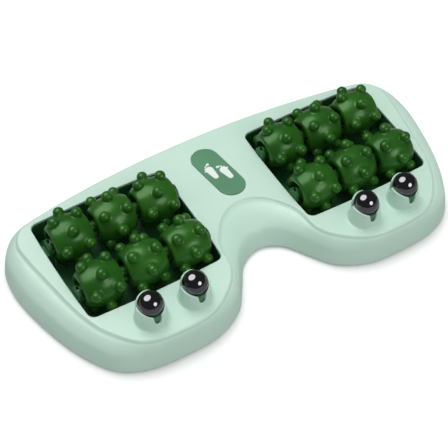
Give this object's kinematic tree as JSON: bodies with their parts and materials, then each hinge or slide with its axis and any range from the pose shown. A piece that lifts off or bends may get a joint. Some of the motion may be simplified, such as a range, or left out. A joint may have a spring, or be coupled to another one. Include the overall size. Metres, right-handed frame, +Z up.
{
  "type": "foot massage roller",
  "caption": "Foot massage roller: a goggle-shaped moulded body with two pockets of knobbed rollers on axles and steel balls in clawed collars.",
  "frame": {"origin": "middle of the footprint's bounding box on the table plane, at the underside of the rubber feet", "axes": "+Z up; X along the body's length, so +X is the right lobe for a person standing at the notch; the notch faces -Y and the arched back edge +Y"},
  "size_m": [0.3238, 0.1536, 0.0497],
  "materials": {
    "mint_shell": "satin",
    "base_plastic": "satin",
    "liner": "satin",
    "roller_plastic": "glossy",
    "cup_plastic": "glossy",
    "axle_steel": "satin",
    "ball_steel": "polished",
    "screw_steel": "satin",
    "badge_plastic": "satin",
    "motif_ink": "satin",
    "foot_rubber": "matte"
  },
  "bodies": {
    "casing": {"top_shell": "mint_shell", "base_plate": "base_plastic", "tray_left": "liner", "tray_right": "liner", "axle_left_rear": "axle_steel", "axle_left_front": "axle_steel", "axle_right_rear": "axle_steel", "axle_right_front": "axle_steel", "roller_spacers": "roller_plastic", "ball_cup_left_outer": "cup_plastic", "ball_cup_left_inner": "cup_plastic", "ball_cup_right_inner": "cup_plastic", "ball_cup_right_outer": "cup_plastic", "badge_plate": "badge_plastic", "badge_motif": "motif_ink", "screws": "screw_steel", "rubber_feet": "foot_rubber"},
    "roller_left_rear_1": {"roller_left_rear_1": "roller_plastic"},
    "roller_left_rear_2": {"roller_left_rear_2": "roller_plastic"},
    "roller_left_rear_3": {"roller_left_rear_3": "roller_plastic"},
    "roller_left_front_1": {"roller_left_front_1": "roller_plastic"},
    "roller_left_front_2": {"roller_left_front_2": "roller_plastic"},
    "roller_left_front_3": {"roller_left_front_3": "roller_plastic"},
    "roller_right_rear_1": {"roller_right_rear_1": "roller_plastic"},
    "roller_right_rear_2": {"roller_right_rear_2": "roller_plastic"},
    "roller_right_rear_3": {"roller_right_rear_3": "roller_plastic"},
    "roller_right_front_1": {"roller_right_front_1": "roller_plastic"},
    "roller_right_front_2": {"roller_right_front_2": "roller_plastic"},
    "roller_right_front_3": {"roller_right_front_3": "roller_plastic"},
    "steel_ball_left_outer": {"steel_ball_left_outer": "ball_steel"},
    "steel_ball_left_inner": {"steel_ball_left_inner": "ball_steel"},
    "steel_ball_right_inner": {"steel_ball_right_inner": "ball_steel"},
    "steel_ball_right_outer": {"steel_ball_right_outer": "ball_steel"}
  },
  "joints": [
    {"name": "roller_left_rear_1_spin", "type": "hinge", "parent": "casing", "child": "roller_left_rear_1", "pos_m": [-0.1146, 0.0298, 0.0278], "axis": [1, 0, 0], "continuous": true},
    {"name": "roller_left_rear_2_spin", "type": "hinge", "parent": "casing", "child": "roller_left_rear_2", "pos_m": [-0.0828, 0.0298, 0.0278], "axis": [1, 0, 0], "continuous": true},
    {"name": "roller_left_rear_3_spin", "type": "hinge", "parent": "casing", "child": "roller_left_rear_3", "pos_m": [-0.051, 0.0298, 0.0278], "axis": [1, 0, 0], "continuous": true},
    {"name": "roller_left_front_1_spin", "type": "hinge", "parent": "casing", "child": "roller_left_front_1", "pos_m": [-0.1146, -0.0142, 0.0278], "axis": [1, 0, 0], "continuous": true},
    {"name": "roller_left_front_2_spin", "type": "hinge", "parent": "casing", "child": "roller_left_front_2", "pos_m": [-0.0828, -0.0142, 0.0278], "axis": [1, 0, 0], "continuous": true},
    {"name": "roller_left_front_3_spin", "type": "hinge", "parent": "casing", "child": "roller_left_front_3", "pos_m": [-0.051, -0.0142, 0.0278], "axis": [1, 0, 0], "continuous": true},
    {"name": "roller_right_rear_1_spin", "type": "hinge", "parent": "casing", "child": "roller_right_rear_1", "pos_m": [0.051, 0.0298, 0.0278], "axis": [1, 0, 0], "continuous": true},
    {"name": "roller_right_rear_2_spin", "type": "hinge", "parent": "casing", "child": "roller_right_rear_2", "pos_m": [0.0828, 0.0298, 0.0278], "axis": [1, 0, 0], "continuous": true},
    {"name": "roller_right_rear_3_spin", "type": "hinge", "parent": "casing", "child": "roller_right_rear_3", "pos_m": [0.1146, 0.0298, 0.0278], "axis": [1, 0, 0], "continuous": true},
    {"name": "roller_right_front_1_spin", "type": "hinge", "parent": "casing", "child": "roller_right_front_1", "pos_m": [0.051, -0.0142, 0.0278], "axis": [1, 0, 0], "continuous": true},
    {"name": "roller_right_front_2_spin", "type": "hinge", "parent": "casing", "child": "roller_right_front_2", "pos_m": [0.0828, -0.0142, 0.0278], "axis": [1, 0, 0], "continuous": true},
    {"name": "roller_right_front_3_spin", "type": "hinge", "parent": "casing", "child": "roller_right_front_3", "pos_m": [0.1146, -0.0142, 0.0278], "axis": [1, 0, 0], "continuous": true},
    {"name": "steel_ball_left_outer_roll", "type": "hinge", "parent": "casing", "child": "steel_ball_left_outer", "pos_m": [-0.098, -0.05415, 0.0412], "axis": [1, 0, 0], "continuous": true},
    {"name": "steel_ball_left_inner_roll", "type": "hinge", "parent": "casing", "child": "steel_ball_left_inner", "pos_m": [-0.066, -0.05415, 0.0412], "axis": [1, 0, 0], "continuous": true},
    {"name": "steel_ball_right_inner_roll", "type": "hinge", "parent": "casing", "child": "steel_ball_right_inner", "pos_m": [0.066, -0.05415, 0.0412], "axis": [1, 0, 0], "continuous": true},
    {"name": "steel_ball_right_outer_roll", "type": "hinge", "parent": "casing", "child": "steel_ball_right_outer", "pos_m": [0.098, -0.05415, 0.0412], "axis": [1, 0, 0], "continuous": true}
  ]
}
